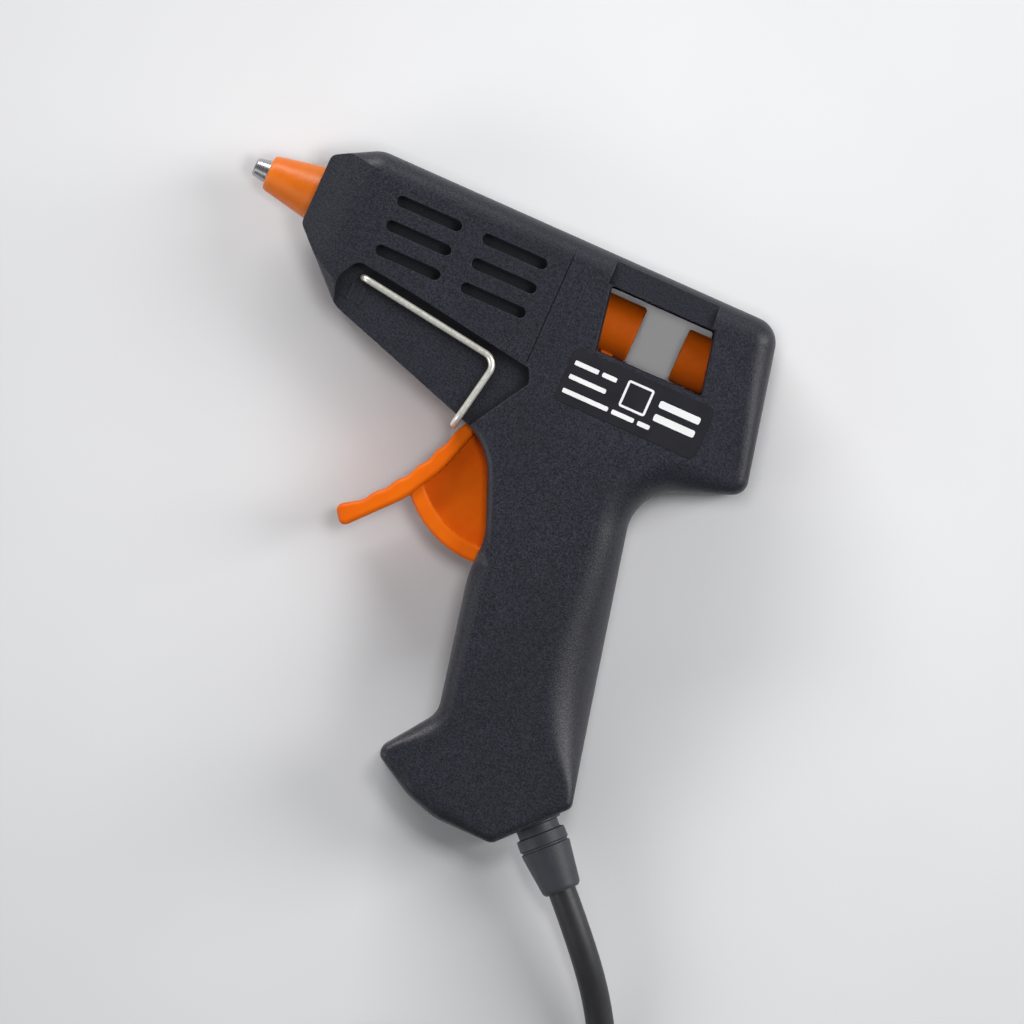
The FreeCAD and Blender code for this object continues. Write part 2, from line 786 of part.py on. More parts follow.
def stand_wire():
    """Folding wire stand: two legs joined by a foot across the belly."""
    side = V(0, 0, STAND_SIDE_Z)
    far = V(0, 0, THICK - STAND_SIDE_Z)
    points = [
        STAND_PIVOT + V(0, 0, STAND_TIP_Z),
        STAND_PIVOT + side,
        STAND_BEND + side,
        STAND_FOOT + side,
        STAND_FOOT + far,
        STAND_BEND + far,
        STAND_PIVOT + far,
        STAND_PIVOT + V(0, 0, THICK - STAND_TIP_Z),
    ]
    r = STAND_CORNER_R
    return bent_rod(points, [1.2, r, r, r, r, 1.2], WIRE_R)


def shell_screws():
    """Self-tapping screws with cross recesses."""
    screws = []
    for x, y in SCREWS:
        head = Part.makeCylinder(HEAD_R, HEAD_SEAT - HEAD_TOP, V(x, y, HEAD_TOP))
        shank = Part.makeCylinder(SHANK_R, SHANK_END - HEAD_SEAT, V(x, y, HEAD_SEAT))
        low = HEAD_TOP - 1
        high = HEAD_TOP + 0.9
        cross = box((x - 1.4, y - 0.3, low), (x + 1.4, y + 0.3, high))
        cross = cross.fuse(box((x - 0.3, y - 1.4, low), (x + 0.3, y + 1.4, high)))
        screws.append(head.fuse(shank).cut(cross))
    return Part.makeCompound(screws)


def label():
    x0, y0, x1, y1 = LABEL
    plate = box((x0, y0, THICK), (x1, y1, THICK + LABEL_THICK))
    return plate.makeFillet(1.2, [e for e in plate.Edges if e.BoundBox.ZLength > 0.01])


def boot_point(along):
    return BOOT_START + BOOT_DIRECTION * along


def strain_relief():
    """Tapered rubber boot with a necked collar outside and a locking flange inside."""
    profile = [
        (-5.2, 5.3),
        (-2.5, 5.3),
        (-2.5, 4.9),
        (0.3, 4.9),
        (0.5, 4.1),
        (2.1, 4.1),
        (2.3, 4.8),
        (4.4, 4.85),
        (4.6, 4.55),
        (4.9, 4.55),
        (5.1, 4.9),
        (BOOT_LENGTH - 0.6, 3.8),
        (BOOT_LENGTH, 3.3),
    ]
    corners = [boot_point(s) + V(0, 0, r) for s, r in profile]
    corners = [boot_point(-5.2), *corners, boot_point(BOOT_LENGTH)]
    face = Part.Face(Part.makePolygon(corners + corners[:1]))
    boot = face.revolve(BOOT_START, BOOT_DIRECTION, 360)
    return boot.cut(rod(boot_point(-8), boot_point(BOOT_LENGTH + 5), CORD_R))


def cord_inner():
    """The cord's end inside the handle."""
    start = (CORD_ROUTE[0] - BOOT_START).dot(BOOT_DIRECTION)
    return rod(boot_point(CLAMP_AT - 4), boot_point(start), CORD_R)


def turned_to_boot(shape):
    """Moves a shape drawn around the origin, with X along the cord, to the clamp."""
    shape.rotate(V(0, 0, 0), V(0, 0, 1), math.degrees(math.atan2(*BOOT_DIRECTION[1::-1])))
    shape.translate(boot_point(CLAMP_AT))
    return shape


def cord_clamp():
    """Bar that holds the cord's sheath against the right shell's saddle."""
    bar = box((-2.5, -7.5, 0.4), (2.5, 7.5, 4.6))
    bar = bar.cut(rod(V(-4, 0, 0), V(4, 0, 0), CORD_R))
    for y in (-5.2, 5.2):
        bar = bar.cut(Part.makeCylinder(1.3, 8, V(0, y, -1)))
    return turned_to_boot(bar)


def clamp_saddle():
    """Block under the cord that the clamp's screws go into."""
    block = box((-2.5, -7.5, 2.0 - MID), (2.5, 7.5, 0.0))
    block = block.cut(rod(V(-4, 0, 0), V(4, 0, 0), CORD_R))
    for y in (-5.2, 5.2):
        block = block.cut(Part.makeCylinder(1.2, 8, V(0, y, -7)))
    return turned_to_boot(block)


def clamp_screws():
    screws = []
    for y in (-5.2, 5.2):
        shank = Part.makeCylinder(1.2, 10.6, V(0, y, -6))
        head = Part.makeCylinder(2.1, 1.5, V(0, y, 4.6))
        cross = box((-1.2, y - 0.25, 5.3), (1.2, y + 0.25, 7))
        cross = cross.fuse(box((-0.25, y - 1.2, 5.3), (0.25, y + 1.2, 7)))
        screws.append(shank.fuse(head).cut(cross))
    return turned_to_boot(Part.makeCompound(screws))


def soft_tube(points, radius, name):
    """A cord's tube: straight runs joined by arcs as large as the runs allow."""
    radii = []
    for before, corner, after in zip(points, points[1:], points[2:]):
        turn = (corner - before).getAngle(after - corner)
        run = min((corner - before).Length, (after - corner).Length)
        radii.append(0.45 * run / math.tan(turn / 2))
    tube = bent_rod(points, radii, radius)
    runs = [(b - a).Length for a, b in zip(points, points[1:])]
    saved = 0
    for corner, bend in enumerate(radii, start=1):
        turn = (points[corner] - points[corner - 1]).getAngle(points[corner + 1] - points[corner])
        saved += bend * (2 * math.tan(turn / 2) - turn)
    expected = math.pi * radius**2 * (sum(runs) - saved)
    print(name, "radii", [round(r, 1) for r in radii], "runs", [round(r, 1) for r in runs])
    print(name, "length", round(sum(runs) - saved, 1), "volume ratio", tube.Volume / expected)
    return tube


def heater_lead(side):
    """One insulated lead from the heater to the cord's end; side is 1 or -1."""
    end = boot_point(CLAMP_AT - 4.2)
    middle = [V(*point) for point in LEAD_ROUTE] + [end]
    points = []
    for i, point in enumerate(middle):
        along = middle[min(i + 1, len(middle) - 1)] - middle[max(i - 1, 0)]
        if point is end:
            along = BOOT_DIRECTION
        across = V(-along.y, along.x, 0).normalize()
        points.append(point + across * LEAD_APART / 2 * side)
    radii = []
    for before, corner, after in zip(points, points[1:], points[2:]):
        run = min((corner - before).Length, (after - corner).Length)
        turn = (corner - before).getAngle(after - corner)
        radii.append(min(12.0, 0.45 * run / math.tan(turn / 2)))
    return bent_rod(points, radii, LEAD_R)


def coil_ring():
    """Outer shape of the coil: a ring with rounded edges."""
    inner, outer = COIL_R
    low, high = COIL_Z
    ring = Part.makeCylinder(outer, high - low, COIL_CENTRE + V(0, 0, low))
    ring = ring.cut(Part.makeCylinder(inner, high - low, COIL_CENTRE + V(0, 0, low)))
    rims = [e for e in ring.Edges if e.BoundBox.ZLength < 0.01 and e.Length > 10]
    return ring.makeFillet(2.4, rims)


def cord_tie():
    """Flat strap around the coil."""
    inner, outer = COIL_R
    t = TIE_THICK
    half = TIE_WIDTH / 2
    strap = box((inner - t, -half, 0), (outer + t, half, COIL_Z[1] + t))
    strap = strap.makeFillet(2.8, [e for e in strap.Edges if e.BoundBox.YLength > 1])
    hole = box((inner, -half - 1, t), (outer, half + 1, COIL_Z[1]))
    hole = hole.makeFillet(2.3, [e for e in hole.Edges if e.BoundBox.YLength > 1])
    strap = strap.cut(hole)
    strap.rotate(V(0, 0, 0), V(0, 0, 1), TIE_ANGLE)
    strap.translate(COIL_CENTRE)
    return strap


def plug_body():
    """Flat two-pin plug, wider towards its face, with a tapered grip for the cord."""
    narrow, wide = PLUG_WIDTH
    h = PLUG_HEIGHT / 2
    start = -PLUG_GRIP
    face = start - PLUG_BODY
    middle = start - PLUG_BODY * 0.55
    shape = prism(
        [
            (start, -narrow / 2),
            (start, narrow / 2),
            (middle, wide / 2),
            (face, wide / 2),
            (face, -wide / 2),
            (middle, -wide / 2),
        ],
        -h,
        h,
    )
    upright = [e for e in shape.Edges if e.BoundBox.ZLength > 1 and e.CenterOfMass.x > face + 1]
    shape = shape.makeFillet(5.0, upright)
    flat = [e for e in shape.Edges if e.BoundBox.ZLength < 0.01 and e.BoundBox.XLength > 0.1]
    shape = shape.makeFillet(2.5, flat)
    grip = Part.makeCone(CORD_R + 0.9, 4.8, PLUG_GRIP + 2, V(0, 0, 0), V(-1, 0, 0))
    shape = shape.fuse(grip)
    shape.translate(PLUG_BACK)
    return shape


def plug_pins():
    """Two round pins that lean in slightly towards their ends."""
    face = -PLUG_GRIP - PLUG_BODY
    pins = []
    for side in (-1, 1):
        base = PLUG_BACK + V(face, side * PLUG_PIN_SPACING / 2, 0)
        pin = rod(base, base + V(-PIN_LENGTH, -side * 0.5, 0), PLUG_PIN_R)
        ends = [e for e in pin.Edges if e.BoundBox.ZLength > 1 and e.CenterOfMass.x < base.x - 15]
        pins.append(pin.makeFillet(0.8, [min(ends, key=lambda e: e.BoundBox.XLength)]))
    return Part.makeCompound(pins)


def build():
    left, right = shells()
    saddle_block = clamp_saddle()
    right = right.fuse(saddle_block.common(rounded_body()))
    cord = soft_tube(CORD_ROUTE, CORD_R, "cord")
    tail = soft_tube(TAIL_ROUTE, CORD_R, "cord_tail")
    tie = cord_tie()
    ring = coil_ring().cut([cord, tail, tie])
    plug = plug_body().cut(tail)
    return {
        "left_shell": left,
        "right_shell": right,
        "shell_screws": shell_screws(),
        "nozzle_tip": nozzle_tip(),
        "nozzle_cover": nozzle_cover(),
        "melt_chamber": melt_chamber(),
        "ptc_heater": ptc_heater(),
        "heater_film": heater_film(),
        "heater_clip": heater_clip(),
        "inlet_sleeve": inlet_sleeve(),
        "sleeve_clamp": sleeve_clamp(),
        "feed_carriage": feed_carriage(),
        "return_spring": return_spring(),
        "spring_post": spring_post(),
        "rear_guide": rear_guide(),
        "trigger": trigger(),
        "trigger_pin": trigger_pin(),
        "stand_wire": stand_wire(),
        "label": label(),
        "lead_live": heater_lead(1),
        "lead_neutral": heater_lead(-1),
        "cord_clamp": cord_clamp(),
        "clamp_screws": clamp_screws(),
        "strain_relief": strain_relief(),
        "cord_inner": cord_inner(),
        "cord": cord,
        "cord_coil": ring,
        "cord_tail": tail,
        "cord_tie": tie,
        "plug_body": plug,
        "plug_pins": plug_pins(),
    }


os.makedirs("parts", exist_ok=True)
for name, shape in build().items():
    shape.translate(-ORIGIN)
    shape.exportStep("parts/" + name + ".step")
    bounds = shape.BoundBox
    print(
        f"{name}: valid {shape.isValid()}, solids {len(shape.Solids)}, volume {shape.Volume:.1f},"
        f" x {bounds.XMin:.2f}..{bounds.XMax:.2f}, y {bounds.YMin:.2f}..{bounds.YMax:.2f},"
        f" z {bounds.ZMin:.2f}..{bounds.ZMax:.2f}"
    )
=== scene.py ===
import math

import bmesh
import bpy
from mathutils import Matrix, Vector


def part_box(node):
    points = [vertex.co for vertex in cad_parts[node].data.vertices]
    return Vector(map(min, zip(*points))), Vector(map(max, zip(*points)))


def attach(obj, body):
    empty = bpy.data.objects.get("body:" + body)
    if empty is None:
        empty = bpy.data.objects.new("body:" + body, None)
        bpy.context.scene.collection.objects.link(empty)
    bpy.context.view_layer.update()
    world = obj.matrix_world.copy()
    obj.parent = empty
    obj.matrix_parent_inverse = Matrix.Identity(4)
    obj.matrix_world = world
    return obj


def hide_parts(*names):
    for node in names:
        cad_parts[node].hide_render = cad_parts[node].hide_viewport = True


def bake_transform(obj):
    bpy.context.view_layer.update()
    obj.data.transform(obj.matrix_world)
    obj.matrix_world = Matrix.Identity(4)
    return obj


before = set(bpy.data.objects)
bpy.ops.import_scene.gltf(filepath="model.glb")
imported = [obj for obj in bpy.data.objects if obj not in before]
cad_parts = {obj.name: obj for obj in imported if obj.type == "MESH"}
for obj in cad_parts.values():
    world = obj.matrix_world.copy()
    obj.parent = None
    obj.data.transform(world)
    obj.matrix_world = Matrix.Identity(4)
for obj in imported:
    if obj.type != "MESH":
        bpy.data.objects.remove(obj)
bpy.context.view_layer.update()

# Looks of the mini glue gun, around its CAD frame. Sizes are written in millimetres and turned
# into metres by MM. The gun lies on its right side: +Z is up, -X the nozzle, +Y the gun's top.

MM = 0.001
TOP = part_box("left_shell")[1].z  # the left shell's flat side
MID = TOP / 2  # parting plane of the shells

# Camera, straight above the gun, turned as the gun lies in the picture
VIEW_TURN = math.radians(24.0)
VIEW_CENTRE = Vector((16.4, 3.18, 0)) * MM
VIEW_WIDTH = 195.0 * MM
LENS = 500.0
SENSOR = 36.0

# Studio lamps: offset along the picture's right, its up and out of the floor, size and power
LAMPS = {
    "key": ((0.85, 0.15, 0.60), (0.4, 0.8), 6.6),
    "top": ((-0.25, 0.95, 0.50), (0.8, 0.35), 8.2),
    "fill": ((-1.0, -0.25, 0.60), (0.6, 0.9), 3.6),
}
# The same for a narrow lamp straight above the window
WINDOW_LAMP = ((0.027, 0.032, 0.42), (0.06, 0.06), 0.057)
WINDOW_LAMP_SPREAD = 60.0
SKY_COLOUR = (0.93, 0.96, 1.0, 1)
SKY_STRENGTH = 0.16
FLOOR_SIZE = 6.0

# Cord: from the strain relief down to the floor, into the coil, then up to the plug
CORD_DIAMETER = 5.4 * MM
CORD_ROUTE = [
    (47.45, -51.83, 13.0),
    (60.55, -64.75, 13.0),
    (71.80, -78.72, 6.6),
    (79.40, -95.32, 3.0),
    (83.40, -113.32, 2.75),
    (84.30, -130.72, 2.8),
]
TAIL_ROUTE = [
    (73.4, -124.72, 13.4),
    (74.8, -140.82, 14.0),
    (68.0, -155.22, 15.6),
    (54.5, -163.42, 17.8),
    (38.8, -164.22, 18.15),
]
COIL_CENTRE = Vector((46.4, -138.22, 0.0))
COIL_START = -4.0  # angle of the first point, in degrees; the coil winds clockwise from it
COIL_STEP = 15.0
COIL_POINTS = 142
COIL_RADIUS = 38.6
COIL_HEIGHT = 2.95
PITCH = 5.4
# Where the coil changes turn: degrees wound, degrees taken, change of radius, change of height
COIL_CHANGES = [
    (296.0, 130.0, -PITCH, 0.0),
    (656.0, 130.0, -PITCH, 0.0),
    (1016.0, 130.0, -PITCH, 0.0),
    (1326.0, 130.0, 0.0, PITCH + 0.1),
    (1456.0, 130.0, PITCH, 0.0),
    (1816.0, 130.0, PITCH, 0.0),
    (2030.0, 80.0, 0.0, 4.9),
    (2075.0, 50.0, -2.2, 0.0),
]
TIE_ANGLE = 118.0
TIE_WIDTH = 9.0
TIE_THICK = 0.5
TIE_LIFT = 0.25  # of the turns over the strap
TIE_LIFT_REACH = 45.0  # degrees of the coil from the strap to where the lift has gone
TIE_LIFT_FADE = 30.0  # degrees that it takes to go
TIE_GAP = 0.05
TIE_CORNER_STEPS = 10
TIE_LAP = 18  # steps that the free end runs on over the strap's start
TIE_RISE = (9, 6.0)  # steps before the lap at which it starts to rise, and steps that it takes
TIE_TIP = 4  # steps over which its end is rounded
TIE_TIP_INSET = 2.4  # how much narrower each side of the strap ends

# Plug, pointing along -X from the end of its cord grip
PLUG_BACK = Vector((47.4, -164.22, 18.15))
GRIP_LENGTH = 12.0
GRIP_START_R = 3.6
GRIP_FLARE = 1.4
GRIP_RIB_PITCH = 2.35
GRIP_RIBS = (1.6, 11.0)  # the stretch with ribs, from the cord's end
GRIP_RIB_FLANK = 2.2  # steepness of the ribs' sides
GRIP_CHAMFER = 0.5
GRIP_OVERLAP = 1.5  # length inside the plug's body
GRIP_STEPS = 60
PLUG_LENGTH = 34.0
PLUG_STEPS = 110
PLUG_WIDENS = 0.62  # share of the length over which it widens
PLUG_THICKENS = (1.0, 9.0)  # how much thinner each side starts, and over what length
PLUG_HALF_WIDTH = (8.5, 17.65)
PLUG_HALF_HEIGHT = 6.8
PLUG_CORNER_R = 4.6
PLUG_ROUNDING = (2.2, 0.9)  # of its edges at the grip and at the face
RIDGES = (7.4, 25.6)  # the stretch with thumb ridges, from the grip
RIDGE_VALLEY = 12.0  # one of the valleys between them
RIDGE_PITCH = 2.6
RIB_DEPTH = 0.55
PIN_SPACING = 18.6
PIN_LEAN = 0.5 / 19.0
# Pin sleeve: distance from the plug's face and radius
SLEEVE = ((-0.3, 2.10), (9.6, 2.10), (9.9, 2.06), (10.0, 2.0))

# Return spring
SPRING_WIRE_R = 0.25
SPRING_WIRE_SIDES = 8
SPRING_INSET = (0.3, 0.9)  # of the coil's front and rear end from the CAD spring's
SPRING_TURNS = 19
SPRING_TURN_STEPS = 16
HOOK_GAP = 0.05
HOOK_ARC = 300.0
HOOK_STEPS = 25

# Label print, from the label's upper left corner: down to a row's middle, across to its first
# bar, and the lengths of its bars
PRINT_ROWS = [
    (2.7, 1.0, (4.9, 3.0)),
    (5.5, 1.0, (7.6,)),
    (8.4, 0.9, (9.4, 4.6, 2.5)),
]
BAR_HEIGHT = 0.9
BAR_GAP = 0.75
SQUARE = (11.7, 6.9, 5.4, 0.45)  # across, down to its lower edge, side and line width
# Wide bars: in from the label's right edge, down to their lower edges, length and height
WIDE_BARS = (10.2, (4.1, 6.8), 8.4, 1.4)
PRINT_THICK = 0.02
PLATE_CORNER_STEPS = 6


def smooth(t):
    """0 below 0, 1 above 1, and a smooth rise between."""
    t = min(max(t, 0.0), 1.0)
    return t * t * (3.0 - 2.0 * t)


# ---------------------------------------------------------------- camera, floor and light


def image_direction(right, up, height):
    """A vector given along the picture's right, the picture's up and out of the floor."""
    across = Vector((math.cos(VIEW_TURN), math.sin(VIEW_TURN), 0))
    along = Vector((-math.sin(VIEW_TURN), math.cos(VIEW_TURN), 0))
    return across * right + along * up + Vector((0, 0, height))


def camera():
    data = bpy.data.cameras.new("camera")
    data.lens = LENS
    data.sensor_width = SENSOR
    data.clip_start = 0.01
    data.clip_end = 20.0
    eye = bpy.data.objects.new("camera", data)
    distance = VIEW_WIDTH * LENS / SENSOR
    eye.location = VIEW_CENTRE + Vector((0, 0, MID + distance))
    eye.rotation_euler = (0, 0, VIEW_TURN)
    bpy.context.scene.collection.objects.link(eye)
    bpy.context.scene.camera = eye


def softbox(name, offset, size, power, aim=Vector((0, 0, 0))):
    """A rectangular lamp that faces aim; both are offsets from the view's centre."""
    data = bpy.data.lights.new(name, "AREA")
    data.shape = "RECTANGLE"
    data.size, data.size_y = size
    data.energy = power
    lamp = bpy.data.objects.new(name, data)
    lamp.location = VIEW_CENTRE + offset
    lamp.rotation_euler = (aim - offset).to_track_quat("-Z", "Y").to_euler()
    bpy.context.scene.collection.objects.link(lamp)
    return lamp


def studio():
    scene = bpy.context.scene
    scene.view_settings.view_transform = "Standard"
    world = bpy.data.worlds.new("studio")
    world.use_nodes = True
    background = world.node_tree.nodes["Background"]
    background.inputs["Color"].default_value = SKY_COLOUR
    background.inputs["Strength"].default_value = SKY_STRENGTH
    scene.world = world
    for name, (offset, size, power) in LAMPS.items():
        softbox(name, image_direction(*offset), size, power)
    # The window's lamp lights the floor seen through it, without a highlight on the gun
    (right, up, height), size, power = WINDOW_LAMP
    above = image_direction(right, up, 0.0)
    window_lamp = softbox("overhead", above + Vector((0, 0, height)), size, power, above)
    window_lamp.data.spread = math.radians(WINDOW_LAMP_SPREAD)
    window_lamp.visible_glossy = False

    bpy.ops.mesh.primitive_plane_add(size=FLOOR_SIZE)
    floor = bpy.context.object
    floor.name = "floor"
    paper = Shader("floor", Roughness=0.85)
    shade = paper.levels(paper.noise(60.0, 2.0), 0.3, 0.7)
    paper.colour(paper.mix(shade, (0.76, 0.76, 0.77), (0.79, 0.79, 0.80)))
    floor.data.materials.append(paper.material)


# ---------------------------------------------------------------- material building


class Shader:
    """A material and short calls that add nodes to it. Lengths are in millimetres."""

    def __init__(self, name, **sockets):
        self.material = bpy.data.materials.new(name)
        self.material.use_nodes = True
        self.tree = self.material.node_tree
        self.surface = self.tree.nodes["Principled BSDF"]
        for socket, value in sockets.items():
            self.surface.inputs[socket.replace("_", " ")].default_value = value
        self.place = self.add("ShaderNodeTexCoord").outputs["Object"]

    def add(self, kind, **inputs):
        """A node with its inputs set or linked, by name."""
        node = self.tree.nodes.new(kind)
        for name, value in inputs.items():
            self.feed(node.inputs[name.replace("_", " ")], value)
        return node

    def feed(self, socket, value):
        if isinstance(value, bpy.types.NodeSocket):
            self.tree.links.new(value, socket)
        elif isinstance(value, tuple) and len(value) == 3 and socket.type == "RGBA":
            socket.default_value = (*value, 1.0)
        else:
            socket.default_value = value

    def stretched(self, x=1.0, y=1.0, z=1.0, turn=0.0):
        """Object coordinates with each axis stretched, after a turn about Z in degrees."""
        mapping = self.add("ShaderNodeMapping", Vector=self.place)
        mapping.vector_type = "TEXTURE"
        mapping.inputs["Scale"].default_value = (x, y, z)
        mapping.inputs["Rotation"].default_value = (0, 0, math.radians(turn))
        return mapping.outputs["Vector"]

    def noise(self, size, detail=2.0, rough=0.5, place=None):
        """Noise whose cells are about size across."""
        node = self.add("ShaderNodeTexNoise", Vector=place or self.place)
        node.inputs["Scale"].default_value = 1.0 / (size * MM)
        node.inputs["Detail"].default_value = detail
        node.inputs["Roughness"].default_value = rough
        return node.outputs["Fac"]

    def cells(self, size, place):
        """Distance within Voronoi cells that are about size across."""
        node = self.add("ShaderNodeTexVoronoi", Vector=place)
        node.inputs["Scale"].default_value = 1.0 / (size * MM)
        return node.outputs["Distance"]

    def levels(self, value, low, high, to_low=0.0, to_high=1.0):
        """Value's range low..high, moved to to_low..to_high and clamped."""
        node = self.add("ShaderNodeMapRange", Value=value)
        for name, number in zip(
            ("From Min", "From Max", "To Min", "To Max"), (low, high, to_low, to_high)
        ):
            node.inputs[name].default_value = number
        return node.outputs["Result"]

    def mix(self, factor, a, b):
        node = self.tree.nodes.new("ShaderNodeMix")
        node.data_type = "RGBA"
        self.feed(node.inputs["Factor"], factor)
        self.feed(node.inputs[6], a)
        self.feed(node.inputs[7], b)
        return node.outputs[2]

    def maths(self, operation, a, b):
        node = self.tree.nodes.new("ShaderNodeMath")
        node.operation = operation
        self.feed(node.inputs[0], a)
        self.feed(node.inputs[1], b)
        return node.outputs["Value"]

    def rounded(self, radius):
        """The normal as if sharp edges were rounded by radius."""
        return self.add("ShaderNodeBevel", Radius=radius * MM).outputs["Normal"]

    def edges(self, radius):
        """1 near convex and concave edges, 0 on open surfaces."""
        normal = self.add("ShaderNodeNewGeometry").outputs["Normal"]
        facing = self.tree.nodes.new("ShaderNodeVectorMath")
        facing.operation = "DOT_PRODUCT"
        self.feed(facing.inputs[0], self.rounded(radius))
        self.feed(facing.inputs[1], normal)
        away = self.maths("SUBTRACT", 1.0, facing.outputs["Value"])
        return self.levels(away, 0.02, 0.35)

    def open_sky(self, reach):
        """1 on open surfaces, 0 deep in slots that are narrower than reach."""
        node = self.add("ShaderNodeAmbientOcclusion", Distance=reach * MM)
        return self.levels(node.outputs["AO"], 0.45, 0.9)

    def bump(self, height, depth, below=None):
        """Height 0..1 raised to depth; below is the normal that it goes on."""
        node = self.add("ShaderNodeBump", Height=height)
        node.inputs["Distance"].default_value = depth * MM
        if below is not None:
            self.feed(node.inputs["Normal"], below)
        return node.outputs["Normal"]

    def colour(self, value):
        self.feed(self.surface.inputs["Base Color"], value)

    def roughness(self, value):
        self.feed(self.surface.inputs["Roughness"], value)

    def normal(self, value):
        self.feed(self.surface.inputs["Normal"], value)


def spark_plastic(name, dark, light, rough, grain=0.35, depth=0.05):
    """Moulded plastic from a spark-eroded mould: sandy grain, edges paler with wear and painted
    sheen, hollows duller and darkened by painted shade.
    """
    s = Shader(name, IOR=1.5, Specular_IOR_Level=0.5)
    pits = s.noise(grain, 3.0, 0.62)
    fine = s.noise(grain * 0.4, 2.0)
    patch = s.levels(s.noise(16.0, 3.0), 0.3, 0.7)
    grains = s.levels(s.noise(grain * 0.9, 2.0, 0.7), 0.36, 0.66)
    base = s.mix(grains, dark, light)
    base = s.mix(s.maths("MULTIPLY", patch, 0.25), base, dark)
    # Painted shade: the base colour is darkened in slots and hollows that the AO node finds closed
    # in; they are also made rougher
    open_sky = s.open_sky(2.5)
    painted_hollow_shade = tuple(c * 0.8 for c in dark)
    base = s.mix(open_sky, painted_hollow_shade, base)
    # Edges paler: partly wear, partly painted sheen
    wear_and_sheen = s.edges(0.45)
    pale = tuple(min(1.0, c * 1.9) for c in light)
    base = s.mix(s.maths("MULTIPLY", wear_and_sheen, s.levels(pits, 0.35, 0.65, 0.15, 0.6)), base, pale)
    s.colour(base)
    spread = s.levels(pits, 0.3, 0.7, rough - 0.07, rough + 0.08)
    spread = s.maths("SUBTRACT", spread, s.maths("MULTIPLY", wear_and_sheen, 0.1))
    s.roughness(s.maths("ADD", spread, s.levels(open_sky, 0.0, 1.0, 0.2, 0.0)))
    normal = s.bump(fine, depth * 0.4, s.rounded(0.22))
    s.normal(s.bump(pits, depth, normal))
    return s.material


def orange_plastic(name, deep, bright, rough=0.38):
    """Glossy orange moulding: slight flow clouds, orange peel, fine handling marks and edges paler
    with wear and painted sheen.
    """
    s = Shader(
        name,
        IOR=1.45,
        Specular_IOR_Level=0.22,
        Subsurface_Weight=0.08,
        Subsurface_Scale=1.0 * MM,
    )
    s.surface.inputs["Subsurface Radius"].default_value = (1.0, 0.35, 0.1)
    flow = s.levels(s.noise(9.0, 3.0, 0.55, s.stretched(1.0, 2.2, 1.0, -20.0)), 0.3, 0.7)
    base = s.mix(flow, deep, bright)
    # Edges paler: partly wear, partly painted sheen
    wear_and_sheen = s.edges(0.5)
    pale = tuple(min(1.0, c * 1.25 + 0.03) for c in bright)
    base = s.mix(s.maths("MULTIPLY", wear_and_sheen, 0.35), base, pale)
    specks = s.levels(s.noise(0.5, 2.0, 0.7), 0.66, 0.75)
    base = s.mix(s.maths("MULTIPLY", specks, 0.25), base, deep)
    s.colour(base)
    peel = s.noise(1.3, 2.0)
    scuffs = s.noise(0.25, 2.0, 0.6, s.stretched(1.0, 9.0, 1.0, 35.0))
    s.roughness(s.levels(scuffs, 0.3, 0.7, rough - 0.06, rough + 0.10))
    normal = s.bump(peel, 0.03, s.rounded(0.25))
    s.normal(s.bump(scuffs, 0.006, normal))
    return s.material


def silicone():
    """Heat-proof silicone: satin, slightly see-through, with a dusty bloom."""
    s = Shader("silicone", IOR=1.42, Subsurface_Weight=0.2, Subsurface_Scale=1.2 * MM)
    s.surface.inputs["Subsurface Radius"].default_value = (1.0, 0.4, 0.12)
    cloud = s.levels(s.noise(5.0, 3.0), 0.3, 0.7)
    base = s.mix(cloud, (0.70, 0.145, 0.003), (0.80, 0.185, 0.007))
    dust = s.levels(s.noise(0.35, 4.0, 0.7), 0.60, 0.80)
    base = s.mix(s.maths("MULTIPLY", dust, 0.15), base, (0.80, 0.42, 0.22))
    s.colour(base)
    s.roughness(s.levels(cloud, 0.0, 1.0, 0.32, 0.44))
    normal = s.bump(s.noise(2.2, 2.0), 0.05, s.rounded(0.2))
    s.normal(s.bump(s.noise(0.3, 2.0), 0.008, normal))
    return s.material


def turned_metal(name, dull, bright, rough=0.28):
    """Metal turned about X: fine rings, slight stains, edges paler with wear and painted sheen."""
    s = Shader(name, Metallic=1.0)
    rings = s.noise(0.14, 2.0, 0.6, s.stretched(1.0, 400.0, 400.0))
    stain = s.levels(s.noise(3.0, 3.0), 0.35, 0.7)
    base = s.mix(stain, bright, dull)
    # Edges brighter: partly wear, partly painted sheen
    base = s.mix(s.maths("MULTIPLY", s.edges(0.3), 0.4), base, bright)
    s.colour(base)
    s.roughness(s.levels(rings, 0.3, 0.7, rough - 0.08, rough + 0.10))
    s.normal(s.bump(rings, 0.004, s.rounded(0.12)))
    return s.material


def plated_metal(name, dull, bright, rough, size=0.3, metallic=1.0, depth=0.0008):
    """Plated or rolled metal: even shine with fine pits and a few duller clouds."""
    s = Shader(name, Metallic=metallic)
    cloud = s.levels(s.noise(2.5, 4.0, 0.6), 0.35, 0.7)
    base = s.mix(cloud, bright, dull)
    s.colour(base)
    pits = s.noise(size, 3.0, 0.6)
    s.roughness(s.levels(pits, 0.35, 0.7, rough - 0.04, rough + 0.08))
    s.normal(s.bump(pits, depth))
    return s.material


def rubber(name, dark, light, rough, grain=0.3, depth=0.012):
    """Soft moulded plastic or rubber: matte, a little dusty, fine grain, edges paler with wear and
    painted sheen.
    """
    s = Shader(name, IOR=1.5)
    cloud = s.levels(s.noise(7.0, 3.0), 0.3, 0.7)
    dust = s.levels(s.noise(0.5, 4.0, 0.7), 0.58, 0.8)
    base = s.mix(cloud, dark, light)
    pale = tuple(min(1.0, c * 2.2 + 0.01) for c in light)
    base = s.mix(s.maths("MULTIPLY", dust, 0.35), base, pale)
    # Edges paler: partly wear, partly painted sheen
    base = s.mix(s.maths("MULTIPLY", s.edges(0.4), 0.3), base, pale)
    s.colour(base)
    fine = s.noise(grain, 2.0)
    s.roughness(s.levels(fine, 0.3, 0.7, rough - 0.06, rough + 0.08))
    s.normal(s.bump(fine, depth, s.rounded(0.15)))
    return s.material


